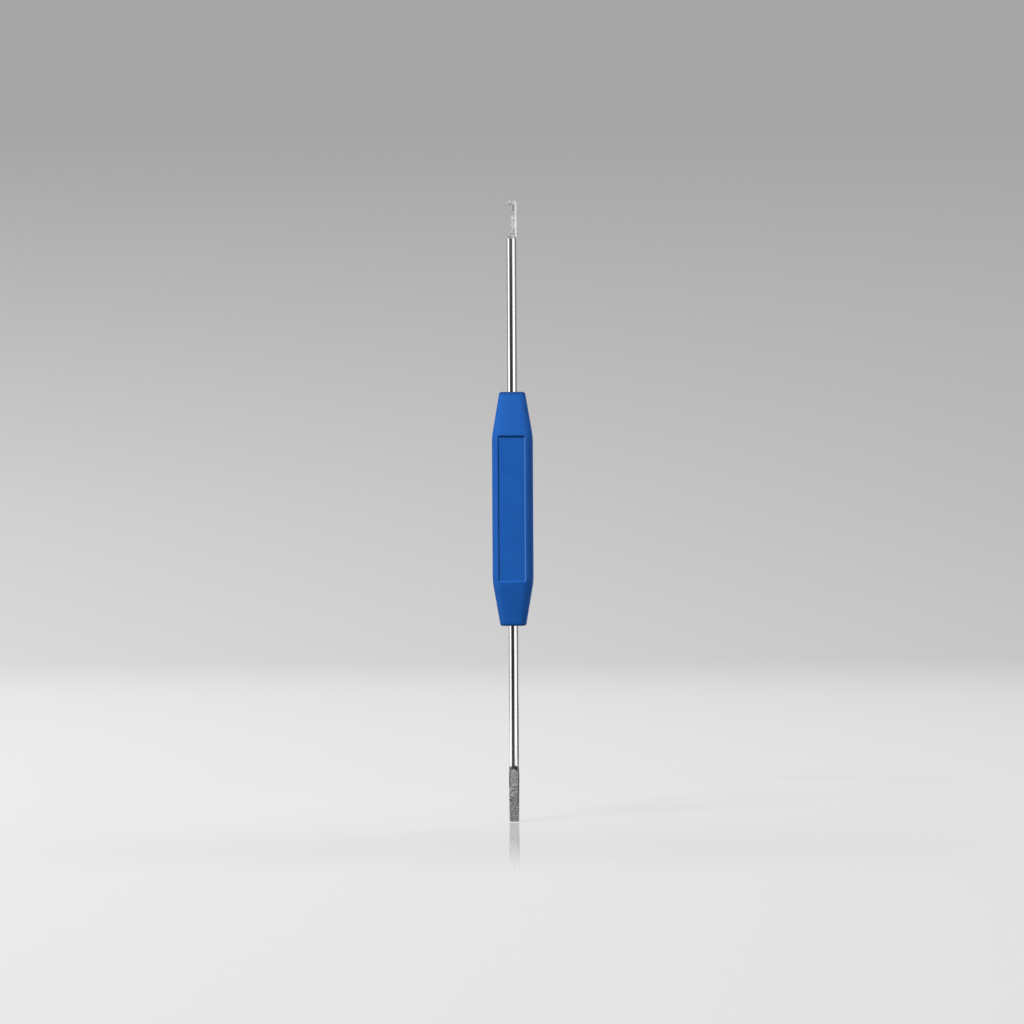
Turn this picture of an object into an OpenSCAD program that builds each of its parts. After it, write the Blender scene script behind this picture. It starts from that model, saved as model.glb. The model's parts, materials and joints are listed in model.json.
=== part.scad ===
// Wedgelock removal tool: a double-ended hand tool that pulls the wedge-shaped
// locks out of sealed cable connectors. A moulded grip holds two steel shafts.
// The upper one ends in a flat hook, and the lower one in a flat blade.
// The origin is the middle of the grip, +Z points along the tool to the hook,
// the hook's lip points to -X, and the front of the grip faces -Y.
// All lengths are in millimetres, and angles in degrees.

/* [Grip] */
// Length of the grip
grip_l = 63; // [54:0.5:80]
// Width of the grip, left to right
grip_w = 11; // [9.5:0.1:14]
// Depth of the grip, front to back
grip_t = 11; // [9.5:0.1:14]
// Length of the tapered stretch at each end of the grip
taper_l = 12; // [8:0.5:16]
// How far each side slopes in over the taper
taper_inset = 2.05; // [1.2:0.05:2.6]
// Corner radius of the section in the straight stretch
corner_r = 2.4; // [1.5:0.1:3.2]
// Corner radius of the section at the end faces
end_corner_r = 1.5; // [1.2:0.1:2]
// Radius that rounds the rim of each end face
rim_r = 0.6; // [0.3:0.1:1.2]
// Radius that softens the bend where the taper starts
bend_r = 20; // [5:1:40]

/* [Label panel] */
// Gap between the panel and each side of the grip
panel_side_gap = 1.9; // [1.5:0.1:3]
// Gap between the panel and each end of the straight stretch
panel_end_gap = 0; // [0:0.1:6]
// Depth of the panel below the face of the grip
panel_depth = 0.5; // [0.2:0.05:0.8]
// Corner radius of the panel
panel_corner_r = 0.3; // [0.1:0.05:1]

/* [Shafts] */
// Diameter of both shafts
shaft_d = 2.6; // [2:0.1:3.2]
// Length of the hook shaft's round stretch outside the grip
hook_shaft_l = 41.4; // [20:0.1:70]
// Length of the blade shaft's round stretch outside the grip
blade_shaft_l = 37.9; // [20:0.1:70]
// Length of each shaft's tail inside the grip
tail_l = 24; // [16:0.5:26]
// Height of the shoulder where a shaft steps down to its tail
tail_step = 0.2; // [0.05:0.05:0.3]
// Length of the squeezed flat that locks a tail in the grip
wing_l = 7; // [4:0.5:9]
// Width of the squeezed flat
wing_w = 3.2; // [3:0.1:4.4]
// Thickness of the squeezed flat
wing_t = 1.3; // [1:0.1:1.6]
// Length of round tail between its inner end and the squeezed flat
wing_setback = 3; // [1:0.5:6]
// Half angle of the cone in which each shaft narrows to its flat tip
cone_angle = 30; // [20:1:45]
// Gap between the steel and the plastic moulded round it
mould_gap = 0.02; // [0.01:0.01:0.05]

/* [Hook] */
// Length of the hook past the round shaft
hook_l = 10.1; // [7:0.1:16]
// How far the hook's back spreads past the side of the shaft
hook_spread = 0.18; // [0.05:0.01:0.4]
// Thickness of the hook, front to back
hook_t = 1; // [0.8:0.05:1.4]
// Width of the hook's stem
stem_w = 1.55; // [1.3:0.05:1.8]
// Thickness of the lip over the top of the notch
lip_t = 0.9; // [0.5:0.05:1.4]
// Radius of the notch's round top
notch_r = 0.7; // [0.65:0.05:0.9]

/* [Blade] */
// Length of the blade past the round shaft
blade_l = 15; // [10:0.5:24]
// How far the flattened blade swells past the shaft on each side
blade_swell = 0.1; // [0.02:0.01:0.2]
// Distance from the round shaft to the swell
swell_l = 2.5; // [1.5:0.1:3.5]
// Thickness of the blade at its root
blade_root_t = 1.6; // [1.2:0.05:1.8]
// Thickness of the blade where its last grind starts
grind_t = 0.85; // [0.7:0.05:1.1]
// Thickness of the blade at its tip
blade_tip_t = 0.55; // [0.3:0.05:0.65]
// Length of the last grind
grind_l = 6; // [3:0.1:8]

/* [Hidden] */
$fn = 64;

shaft_r = shaft_d / 2;
tail_r = shaft_r - tail_step;
cone_l = shaft_r / tan(cone_angle);
grip_end = grip_l / 2;
taper_start = grip_end - taper_l;
taper_angle = atan(taper_inset / taper_l);
bend_tangent = bend_r * tan(taper_angle / 2);
panel_w = grip_w - 2 * panel_side_gap;
panel_l = 2 * (taper_start - panel_end_gap);
hook_start = grip_end + hook_shaft_l;
hook_tip = hook_start + hook_l;
hook_back = shaft_r + hook_spread;
hook_heel = sqrt(pow(shaft_r, 2) - pow(hook_t / 2, 2));
stem_front = hook_back - stem_w;
notch_z = hook_tip - lip_t - notch_r;
blade_start = grip_end + blade_shaft_l;
blade_end = blade_start + blade_l;

// Steps in the rounded stretches of the grip's outline
BEND_STEPS = 5;
RIM_STEPS = 6;
CORNER_STEPS = 8;
// How far a cutter reaches past the face that it cuts
OVER = 1;

// The grip's outline from the middle to one end, as [inset from the side, height].
// The bend is an arc through the taper's angle, and the rim is an arc through the rest
// of the quarter turn to the end face.
function grip_profile() =
    let(
        rim_centre_z = grip_end - rim_r,
        rim_centre_inset = (rim_centre_z - taper_start) * tan(taper_angle)
            + rim_r / cos(taper_angle)
    )
    concat(
        [for (i = [0 : BEND_STEPS])
            let(a = taper_angle * i / BEND_STEPS)
            [bend_r * (1 - cos(a)), taper_start - bend_tangent + bend_r * sin(a)]],
        [for (i = [0 : RIM_STEPS])
            let(a = taper_angle + (90 - taper_angle) * i / RIM_STEPS)
            [rim_centre_inset - rim_r * cos(a), rim_centre_z + rim_r * sin(a)]]
    );

// Corner radius of the grip's section where its sides are inset by the given length.
// It changes evenly over the taper, and past it the rim takes as much off it as off the sides.
function section_r(inset) =
    corner_r - (corner_r - end_corner_r) * min(inset / taper_inset, 1)
        - max(inset - taper_inset, 0);

// One ring of points round the grip's section: a rectangle with round corners
function grip_ring(inset, z) =
    let(
        r = section_r(inset),
        cx = grip_w / 2 - inset - r,
        cy = grip_t / 2 - inset - r
    )
    [for (corner = [0 : 3], i = [0 : CORNER_STEPS])
        let(
            a = 90 * (corner + i / CORNER_STEPS),
            sx = corner == 0 || corner == 3 ? 1 : -1,
            sy = corner < 2 ? 1 : -1
        )
        [sx * cx + r * cos(a), sy * cy + r * sin(a), z]];

// The grip's outer form: rings along the outline, from the lower end to the upper
module grip_body() {
    upper = grip_profile();
    count = len(upper);
    lower = [for (i = [count - 1 : -1 : 0]) [upper[i][0], -upper[i][1]]];
    levels = concat(lower, upper);
    points = [for (level = levels) each grip_ring(level[0], level[1])];
    ring = 4 * (CORNER_STEPS + 1);
    last = (len(levels) - 1) * ring;
    sides = [for (k = [0 : len(levels) - 2], i = [0 : ring - 1])
        let(
            a = k * ring + i,
            b = k * ring + (i + 1) % ring
        )
        each [[a, a + ring, b + ring], [a, b + ring, b]]];
    bottom = [[for (i = [0 : ring - 1]) i]];
    top = [[for (i = [ring - 1 : -1 : 0]) last + i]];
    polyhedron(points, concat(sides, bottom, top), convexity = 2);
}

// A rectangle with round corners, centred on the origin
module rounded_rectangle(w, l, r) {
    square([w - 2 * r, l], center = true);
    square([w, l - 2 * r], center = true);
    for (sx = [-1, 1], sy = [-1, 1])
        translate([sx * (w / 2 - r), sy * (l / 2 - r)]) circle(r);
}

// The recess of one label panel, cut into the front face
module panel_cut() {
    translate([0, panel_depth - grip_t / 2, 0]) rotate([90, 0, 0])
        linear_extrude(panel_depth + OVER) rounded_rectangle(panel_w, panel_l, panel_corner_r);
}

// The section of the squeezed flat, a slot with round ends
module wing_section(gap) {
    r = wing_t / 2 + gap;
    reach = wing_w / 2 - wing_t / 2;
    square([2 * reach, 2 * r], center = true);
    for (side = [-1, 1]) translate([side * reach, 0]) circle(r);
}

// The tail of a shaft, in the upper half of the grip. With a gap it is the hollow that a
// tail fills, and with extra it reaches that far past the mouth.
module shaft_tail(gap = 0, extra = 0) {
    r = tail_r + gap;
    wing_top = wing_setback + wing_l;
    translate([0, 0, grip_end - tail_l]) {
        translate([0, 0, -gap]) cylinder(r = r, h = wing_setback + gap);
        translate([0, 0, wing_setback - gap]) linear_extrude(wing_l + 2 * gap) wing_section(gap);
        translate([0, 0, wing_top]) cylinder(r = r, h = tail_l - wing_top + extra);
    }
}

// The moulded grip, with a panel on its front and its back and a hollow for each shaft
module grip() {
    color("royalblue") difference() {
        grip_body();
        for (turn = [0, 180]) {
            rotate([0, 0, turn]) panel_cut();
            rotate([turn, 0, 0]) shaft_tail(mould_gap, OVER);
        }
    }
}

// A shaft that points up: its tail and its round stretch
module round_shaft(length) {
    shaft_tail();
    translate([0, 0, grip_end]) cylinder(r = shaft_r, h = length);
}

// The cone in which a shaft narrows to its flat tip, on the end of its round stretch
module shaft_cone(length) {
    translate([0, 0, grip_end + length]) cylinder(r1 = shaft_r, r2 = 0, h = cone_l);
}

// The hook seen from the front: a stem with a sloped heel, and a lip flush with the shaft's
// other side, whose tip the notch's round top turns down
module hook_outline() {
    heel_top = hook_start + hook_back - hook_heel;
    difference() {
        union() {
            translate([-shaft_r, notch_z]) square([hook_back + shaft_r, hook_tip - notch_z]);
            polygon([
                [stem_front, hook_start], [hook_heel, hook_start], [hook_back, heel_top],
                [hook_back, hook_tip], [stem_front, hook_tip]]);
        }
        translate([stem_front - notch_r, notch_z]) circle(notch_r);
    }
}

// The upper steel shaft, up to where the hook starts
module hook_shaft() {
    color("silver") round_shaft(hook_shaft_l);
}

// The flat hook that rises out of the cone on the upper shaft's end. It is a node of its own
// so that nothing fills its notch.
module hook() {
    color("silver") {
        shaft_cone(hook_shaft_l);
        translate([0, hook_t / 2, 0]) rotate([90, 0, 0])
            linear_extrude(hook_t) hook_outline();
    }
}

// The blade's blank, round about the shaft's axis and pointing up: it swells a little where
// it is flattened, and draws in again to the tip
module blade_blank() {
    rotate_extrude() polygon([
        [0, blade_start], [shaft_r, blade_start], [shaft_r + blade_swell, blade_start + swell_l],
        [shaft_r, blade_end], [0, blade_end]]);
}

// The blade seen from the side: a long taper, then a shorter one to the tip
module blade_side_outline() {
    grind_start = blade_end - grind_l;
    polygon([
        [-blade_root_t / 2, blade_start], [-grind_t / 2, grind_start], [-blade_tip_t / 2, blade_end],
        [blade_tip_t / 2, blade_end], [grind_t / 2, grind_start], [blade_root_t / 2, blade_start]]);
}

// The lower steel shaft with the blade on its end
module blade_shaft() {
    color("silver") rotate([180, 0, 0]) {
        round_shaft(blade_shaft_l);
        shaft_cone(blade_shaft_l);
        intersection() {
            blade_blank();
            translate([-shaft_d, 0, 0]) rotate([90, 0, 90])
                linear_extrude(2 * shaft_d) blade_side_outline();
        }
    }
}

grip();
hook_shaft();
hook();
blade_shaft();
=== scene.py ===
"""The looks of the wedgelock removal tool: a blue moulded grip, a hooked steel shaft and a bladed one.

Every piece is a stack of closed rings of points, worked out as one numpy array and skinned into a mesh.
Lengths are in metres. The origin is the middle of the grip, and +Z points along the tool to the hook.
"""
import json

import bpy
import numpy as np
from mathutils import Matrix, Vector


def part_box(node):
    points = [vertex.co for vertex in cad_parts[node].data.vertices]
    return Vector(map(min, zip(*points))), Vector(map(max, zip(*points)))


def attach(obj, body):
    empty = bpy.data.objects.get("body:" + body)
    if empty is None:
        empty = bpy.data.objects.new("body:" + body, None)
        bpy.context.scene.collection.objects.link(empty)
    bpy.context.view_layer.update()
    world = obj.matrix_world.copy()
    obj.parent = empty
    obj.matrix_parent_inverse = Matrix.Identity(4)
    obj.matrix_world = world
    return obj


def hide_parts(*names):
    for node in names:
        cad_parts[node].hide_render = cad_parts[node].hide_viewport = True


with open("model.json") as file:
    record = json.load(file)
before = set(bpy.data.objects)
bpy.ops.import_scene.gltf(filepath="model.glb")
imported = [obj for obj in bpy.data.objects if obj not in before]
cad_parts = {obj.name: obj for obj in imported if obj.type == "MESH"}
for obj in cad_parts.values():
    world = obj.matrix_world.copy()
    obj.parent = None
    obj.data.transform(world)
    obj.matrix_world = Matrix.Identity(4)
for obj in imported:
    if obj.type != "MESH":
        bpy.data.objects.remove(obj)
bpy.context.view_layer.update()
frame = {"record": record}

MM = 0.001
TINY = 1e-6

# Sizes that the frame gives
MOUNTS = {mount["name"]: mount for mount in frame["record"]["mounts"]}
GRIP_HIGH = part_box("grip")[1]
HOOK_LOW, HOOK_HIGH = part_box("hook")
BLADE_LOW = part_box("blade_shaft")[0]
GRIP_HALF_W = GRIP_HIGH.x
GRIP_END = GRIP_HIGH.z
PANEL_FLOOR = MOUNTS["back_panel"]["pos_m"][1]
SHAFT_R = MOUNTS["hook_shaft_seat"]["dims"]["r_mm"] * MM
HOOK_START = HOOK_LOW.z
HOOK_TIP = HOOK_HIGH.z
HOOK_BACK = HOOK_HIGH.x
LIP_END = HOOK_LOW.x
BLADE_START = GRIP_END + MOUNTS["blade_shaft_seat"]["dims"]["length_mm"] * MM
BLADE_END = -BLADE_LOW.z

# Sizes of the grip
TAPER_L = 12 * MM
TAPER_INSET = 2.05 * MM
CORNER_R = 2.4 * MM
END_CORNER_R = 1.5 * MM
RIM_R = 0.6 * MM
BEND_R = 20 * MM
PANEL_HALF_W = 3.56 * MM
PANEL_CORNER_R = 0.4 * MM
PANEL_WALL = 0.36 * MM
FACE_BOW = 0.5 * MM
FACE_FROM = 4 * MM
PARTING_H = 0.02 * MM
PARTING_W = 0.12 * MM
MOUTH_R = 1.42 * MM
MOUTH_DEPTH = 0.08 * MM

# The grip's finish: worn corners, a painted highlight on the panels' right walls, and painted shade on their
# other walls and the end rims
WALL_LINE_W = 0.4
CORNER_WORN = 0.05
UPPER_RIM_SHADE = 0.95
LOWER_RIM_SHADE = 0.5
LOWER_WALL_SHADE = 0.2

# Sizes of the shafts' tails inside the grip
TAIL_L = 24 * MM
TAIL_R = SHAFT_R - 0.2 * MM
TAIL_CHAMFER = 0.2 * MM
WING_SETBACK = 3 * MM
WING_L = 7 * MM
WING_W = 3.2 * MM
WING_T = 1.3 * MM
MOULD_GAP = 0.02 * MM

# Sizes of the cones that end the round shafts, and how sharp ground edges and inner corners are
CONE_SLOPE = np.tan(np.radians(30))
CONE_TIP_R = 0.001 * MM
EDGE_SHARPNESS = 60
BLADE_SHARPNESS = 30
FILLET_SHARPNESS = 30

# Sizes of the hook
CONE_LEAN = 0.29
HOOK_HALF_T = 0.5 * MM
STEM_W = 1.55 * MM
STEM_FRONT_POWER = 16
LIP_T = 0.9 * MM
LIP_BEVEL = 0.04 * MM
NOTCH_R = 0.7 * MM
CROWN_R = 0.06 * MM
CHAMFER_W = 0.58 * MM
CHAMFER_T = 0.3 * MM

# The hook's finish, with painted shade at the foot, the notch and the crown, and a painted highlight on the
# lip
CONE_GROUND_L = 0.1 * MM
ARCH_SHADE_W = 0.12 * MM
ARCH_SHADE_L = 0.5 * MM
NOTCH_SHADE_L = 3.2 * MM
NOTCH_SHADE = 0.6
CROWN_SHADE = 0.45
CONE_FRONT_SHADE = 0.6
CONE_BACK_SHADE = 0.05
CHAMFER_DRAWN = 0.62
LIP_HIGHLIGHT_W = 0.25 * MM
LIP_END_HIGHLIGHT = 0.7
LIP_TOP_HIGHLIGHT = 0.35

# Sizes of the blade
BLADE_SWELL = 0.1 * MM
SWELL_L = 2.5 * MM
BLADE_ROOT_T = 1.6 * MM
GRIND_T = 0.85 * MM
BLADE_TIP_T = 0.55 * MM
GRIND_L = 6 * MM
BREAK_DEPTH = 0.03 * MM
BREAK_W = 0.1 * MM
BLADE_BEVEL = 0.05 * MM
ROOT_L = 1.6 * MM

# The blade's finish, with painted shade on the ramp, along the long edges and past the break
LEFT_EDGE_L = 5.2 * MM
EDGE_SHADE = 0.9
EDGE_LINE_SHARE = 0.6
RAMP_SIDES_LESS_SHADE = 0.6
PAST_BREAK_SHADE = 0.27
RAMP_SHADE_L = 1.1 * MM
GROUND_START_L = 0.25 * MM

# Places worked out from the sizes
TAPER_START = GRIP_END - TAPER_L
TAPER_ANGLE = np.arctan2(TAPER_INSET, TAPER_L)
BEND_TANGENT = BEND_R * np.tan(TAPER_ANGLE / 2)
PANEL_HALF_L = TAPER_START
TAIL_END = GRIP_END - TAIL_L
STEM_FRONT = HOOK_BACK - STEM_W
NOTCH_Z = HOOK_TIP - LIP_T - NOTCH_R
STEM_HEEL = np.sqrt(SHAFT_R**2 - HOOK_HALF_T**2)
CONE_L = SHAFT_R / CONE_SLOPE
GRIND_START = BLADE_END - GRIND_L


def smoothstep(t):
    """Eases from 0 to 1 as t goes from 0 to 1: 3 t squared less 2 t cubed."""
    t = np.clip(t, 0, 1)
    return t * t * (3 - 2 * t)


def fade(value, start, end):
    """Eases from 0 to 1 as a value goes from start to end, of which either may be the greater."""
    return smoothstep((value - start) / (end - start))


def hump(value, middle, width):
    """A bell curve, e to the power of -((value - middle) / width)^2: 1 in the middle, and near 0 far off."""
    return np.exp(-(((value - middle) / width) ** 2))


def soft_least(a, b, sharpness):
    """The lesser of two lengths, rounded where they cross: (a^-p + b^-p)^(-1/p)."""
    return (a**-sharpness + b**-sharpness) ** (-1 / sharpness)


def soft_most(a, b, sharpness):
    """The greater of two lengths, filleted where they cross: (a^p + b^p)^(1/p)."""
    return (a**sharpness + b**sharpness) ** (1 / sharpness)


def skin(name, rings, material, sharp_degrees=38):
    """A closed mesh over rings of points (levels x lines x 3), joined by quads, with a fan at each end."""
    levels, lines = rings.shape[:2]
    ends = rings[[0, -1]].mean(axis=1)
    points = np.concatenate([rings.reshape(-1, 3), ends])
    level, line = np.meshgrid(np.arange(levels - 1), np.arange(lines), indexing="ij")
    after = (line + 1) % lines
    lower, upper = level * lines, (level + 1) * lines
    quads = np.stack([lower + line, lower + after, upper + after, upper + line], axis=-1).reshape(-1, 4)
    here = np.arange(lines)
    there = (here + 1) % lines
    first_pole = levels * lines
    last_ring = (levels - 1) * lines
    first = np.stack([there, here, np.full(lines, first_pole)], axis=-1)
    last = np.stack([last_ring + here, last_ring + there, np.full(lines, first_pole + 1)], axis=-1)
    mesh = bpy.data.meshes.new(name)
    mesh.from_pydata(points.tolist(), [], quads.tolist() + first.tolist() + last.tolist())
    mesh.shade_smooth()
    mesh.set_sharp_from_angle(angle=np.radians(sharp_degrees))
    mesh.materials.append(material)
    piece = bpy.data.objects.new(name, mesh)
    bpy.context.scene.collection.objects.link(piece)
    return piece


def mark(piece, name, values):
    """Keeps a value for each ring point, and 0 for the two end points, as the piece's own attribute."""
    values = np.append(values.ravel(), [0, 0]).astype(np.float32)
    attribute = piece.data.attributes.new(name, "FLOAT", "POINT")
    attribute.data.foreach_set("value", values)


def around_axis(radius, angle, height):
    """Rings round the Z axis, from radius and angle (levels x lines) and each level's height."""
    height = np.broadcast_to(height[:, None], radius.shape)
    return np.stack([radius * np.cos(angle), radius * np.sin(angle), height], axis=-1)


def slot_radius(angle, half_w, half_t):
    """Distance from the middle to the edge of a slot with round ends: a flat side, or else an end circle."""
    reach = half_w - half_t
    across, along = np.abs(np.sin(angle)), np.abs(np.cos(angle))
    flat = half_t / np.maximum(across, TINY)
    end = reach * along + np.sqrt(np.maximum(half_t**2 - (reach * across) ** 2, 0))
    return np.where(flat * along <= reach, flat, end)


# The grip

def grip_outline():
    """Half the grip's outline as heights and insets: straight, an arc's bend, the taper, the rim's arc."""
    bend_start, bend_end = TAPER_START - BEND_TANGENT, TAPER_START + BEND_TANGENT * np.cos(TAPER_ANGLE)
    rim_z = GRIP_END - RIM_R
    rim_inset = (rim_z - TAPER_START) * np.tan(TAPER_ANGLE) + RIM_R / np.cos(TAPER_ANGLE)
    wall_low, wall_high = PANEL_HALF_L - 0.75 * PANEL_WALL, PANEL_HALF_L + 0.75 * PANEL_WALL
    rim_start = rim_z + RIM_R * np.sin(TAPER_ANGLE)
    heights = np.concatenate([
        np.linspace(0, bend_start, 12, endpoint=False),
        np.linspace(bend_start, wall_low, 6, endpoint=False),
        np.linspace(wall_low, wall_high, 15, endpoint=False),
        np.linspace(wall_high, bend_end, 8, endpoint=False),
        np.linspace(bend_end, rim_start, 16, endpoint=False),
    ])
    bend = BEND_R - np.sqrt(BEND_R**2 - np.clip(heights - bend_start, 0, BEND_R / 2) ** 2)
    slope = (heights - TAPER_START) * np.tan(TAPER_ANGLE)
    insets = np.where(heights < bend_end, bend, slope)
    turn = np.linspace(TAPER_ANGLE, np.pi / 2, 14)
    heights = np.append(heights, rim_z + RIM_R * np.sin(turn))
    insets = np.append(insets, rim_inset - RIM_R * np.cos(turn))
    return heights, insets


def bowed(out, along, half):
    """A face's distance from the axis, let down towards its edges.

    It is less by the bow times (along/half)^2 times (out/half)^4, and the bow shrinks with the section.
    """
    return out - FACE_BOW * half / GRIP_HALF_W * (along / half) ** 2 * (out / half) ** 4


def grip_sections(insets):
    """Square sections with round corners and bowed sides (levels x lines x 2), inset from the grip's sides.

    A quarter of a section is a flat from the middle of a side, an arc over the corner and the next flat,
    and then both are bowed. The lines crowd together on the arcs where the panel's walls run.
    """
    flats = 6
    flat = np.linspace(0, 1, flats, endpoint=False)
    wall_x = PANEL_HALF_W + PANEL_WALL * np.linspace(-0.75, 0.75, 15)
    wall = np.degrees(np.arcsin((wall_x - GRIP_HALF_W + CORNER_R) / CORNER_R))
    arc = np.radians(np.concatenate([[0, 2.4], wall, np.linspace(24, 66, 11), 90 - wall[::-1], [87.6]]))
    straight = np.concatenate([flat, np.ones(len(arc) + 1), flat[:0:-1]])
    arc = np.concatenate([np.zeros(flats), arc, np.full(flats, np.pi / 2)])
    radius = CORNER_R - (CORNER_R - END_CORNER_R) * np.minimum(insets / TAPER_INSET, 1)
    radius = (radius - np.maximum(insets - TAPER_INSET, 0))[:, None]
    half = (GRIP_HALF_W - insets)[:, None]
    line = np.arange(len(arc))
    middle = half - radius
    out = np.where(line < len(arc) - flats, middle + radius * np.cos(arc), middle * straight)
    side = np.where(line < flats, middle * straight, middle + radius * np.sin(arc))
    quarter = np.stack([bowed(out, side, half), bowed(side, out, half)], axis=-1)
    turns = [quarter]
    for _ in range(3):
        quarter = np.stack([-quarter[..., 1], quarter[..., 0]], axis=-1)
        turns.append(quarter)
    return np.concatenate(turns, axis=1)


def panel_inset(x, z):
    """How many wall widths a point lies inside the panel's outline, a rectangle that has round corners."""
    dx = np.abs(x) - (PANEL_HALF_W - PANEL_CORNER_R)
    dz = np.abs(z) - (PANEL_HALF_L - PANEL_CORNER_R)
    outside = np.hypot(np.maximum(dx, 0), np.maximum(dz, 0)) + np.minimum(np.maximum(dx, dz), 0)
    return (PANEL_CORNER_R - outside) / PANEL_WALL


def panel_sink(x, z):
    """How far a point is down a panel's wall, from 0 on the grip's face to 1 on the panel's floor.

    It falls over the wall's width, half outside and half inside the outline, and is three parts even slope
    to one part eased.
    """
    fall = np.clip(panel_inset(x, z) + 0.5, 0, 1)
    return 0.75 * fall + 0.25 * smoothstep(fall)


def grip_outer_rings():
    """The grip's outer half (levels x lines x 3), with sunk panels and a fine parting line on its sides."""
    heights, insets = grip_outline()
    section = grip_sections(insets)
    x, y = section[..., 0], section[..., 1]
    z = np.broadcast_to(heights[:, None], x.shape)
    floor = bowed(PANEL_FLOOR, x, GRIP_HALF_W)
    faces_out = np.abs(y) > floor
    sink = np.where(faces_out, panel_sink(x, z), 0)
    sunk = np.sign(y) * (np.abs(y) + (floor - np.abs(y)) * sink)
    parting = PARTING_H * hump(y, 0, PARTING_W) * (np.abs(x) > np.abs(y))
    x = x + np.sign(x) * parting
    return np.stack([x, np.where(faces_out, sunk, y), z], axis=-1)


def grip_inner_rings(rim):
    """From the rim's last ring inwards: the end face, the mouth's dish, and the hollow that holds a tail."""
    angle = np.arctan2(rim[:, 1], rim[:, 0])[None, :]
    end = rim[0, 2]
    share = np.linspace(0, 1, 7)[1:, None, None]
    mouth = around_axis(np.full(angle.shape, MOUTH_R), angle, np.array([end]))
    face = rim + (mouth - rim) * share
    hollow_r = TAIL_R + MOULD_GAP
    wing = slot_radius(angle, WING_W / 2 + MOULD_GAP, WING_T / 2 + MOULD_GAP)
    wing_end = TAIL_END + WING_SETBACK - MOULD_GAP
    wing_start = TAIL_END + WING_SETBACK + WING_L + MOULD_GAP
    floor = end - MOUTH_DEPTH
    steps = [
        (SHAFT_R + MOULD_GAP, floor), (hollow_r, floor), (hollow_r, wing_start), (wing, wing_start),
        (wing, wing_end), (hollow_r, wing_end), (hollow_r, TAIL_END - MOULD_GAP),
    ]
    radius = np.concatenate([np.broadcast_to(r, angle.shape) for r, _ in steps])
    hollow = around_axis(radius, np.broadcast_to(angle, radius.shape), np.array([h for _, h in steps]))
    return np.concatenate([face, hollow])


def wall_line(rings, side, long_share, end_share):
    """A soft line along two walls of each panel: the right and lower one for side 1, the others for side -1.

    The long wall and the short one at the end each have a share that says how strong the line is.
    """
    x, y, z = np.moveaxis(rings, -1, 0)
    is_long = np.abs(x) - PANEL_HALF_W > np.abs(z) - PANEL_HALF_L
    on_side = np.where(is_long, x, -z) * side > 0
    line = hump(panel_inset(x, z), 0, WALL_LINE_W)
    return line * on_side * np.where(is_long, long_share, end_share) * (np.abs(y) > FACE_FROM)


def grip_wear_and_highlight(rings):
    """How pale each point is: a painted highlight along the right wall of each panel most, then wear on the
    corners.
    """
    x, y, _ = np.abs(np.moveaxis(rings, -1, 0))
    corner = fade(np.minimum(x, y) / np.maximum(np.maximum(x, y), MM), 0.6, 0.85)
    return np.maximum(CORNER_WORN * corner, wall_line(rings, 1, 1, 0))


def grip_painted_shade(rings):
    """How much painted shade darkens each point: the panels' other walls, and the end rims, the upper one
    most.
    """
    z = rings[..., 2]
    end_rim = fade(np.abs(z), GRIP_END - 1.3 * RIM_R, GRIP_END - 0.3 * RIM_R)
    left_and_top = wall_line(rings, -1, 1, 1)
    bottom = wall_line(rings, 1, 0, LOWER_WALL_SHADE)
    rims = np.where(z > 0, UPPER_RIM_SHADE, LOWER_RIM_SHADE) * end_rim
    return np.maximum(rims, np.maximum(left_and_top, bottom))


def grip_piece(material):
    """The whole grip: its upper half, and the same rings mirrored below in the opposite order."""
    outer = grip_outer_rings()
    upper = np.concatenate([outer, grip_inner_rings(outer[-1])])
    lower = upper[:0:-1] * np.array([1, 1, -1])
    rings = np.concatenate([lower, upper])
    piece = skin("moulded_grip", rings, material)
    # Wear on the corners and a painted highlight on the panels' right walls, then painted shade on their
    # other walls and the end rims
    mark(piece, "wear_and_highlight", grip_wear_and_highlight(rings))
    mark(piece, "painted_grip_shade", grip_painted_shade(rings))
    return piece


# The shafts

def tail_steps():
    """Heights and round radii of a shaft's tail, from its end in the grip to its shoulder at the mouth."""
    shoulder = GRIP_END - MOUTH_DEPTH
    wing_end = TAIL_END + WING_SETBACK
    wing_start = wing_end + WING_L
    heights = np.array([
        TAIL_END, TAIL_END + TAIL_CHAMFER, wing_end, wing_end, wing_start, wing_start, shoulder, shoulder])
    radii = np.array([TAIL_R - TAIL_CHAMFER, *[TAIL_R] * 6, SHAFT_R])
    return heights, radii


def tail_rings(angle):
    """A tail's rings: round steps, with the squeezed flat's slot shape at the fourth and fifth level."""
    heights, radii = tail_steps()
    radius = np.repeat(radii[:, None], len(angle), axis=1)
    radius[3:5] = slot_radius(angle, WING_W / 2, WING_T / 2)
    return around_axis(radius, np.broadcast_to(angle, radius.shape), heights)


def bare_rings(angle, end):
    """The round shaft from the grip's mouth to just short of a height, with closer rings near that end."""
    close = np.linspace(end - 0.6 * MM, end - 0.02 * MM, 7)
    heights = np.append(np.linspace(GRIP_END, close[0], 12, endpoint=False), close)
    radius = np.full((len(heights), len(angle)), SHAFT_R)
    return around_axis(radius, np.broadcast_to(angle, radius.shape), heights)


def blunt_end(ring, out, bevel):
    """Rings that close an end: the last ring drawn in by a bevel and pushed out along a direction."""
    middle = ring.mean(axis=0)
    spokes = ring - middle
    length = np.linalg.norm(spokes, axis=1, keepdims=True)
    drawn = ring - spokes / length * np.minimum(bevel, length / 2)
    inner = middle + (drawn - middle) * 0.5
    return np.stack([drawn, inner]) + np.asarray(out) * bevel


# The hook

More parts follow.
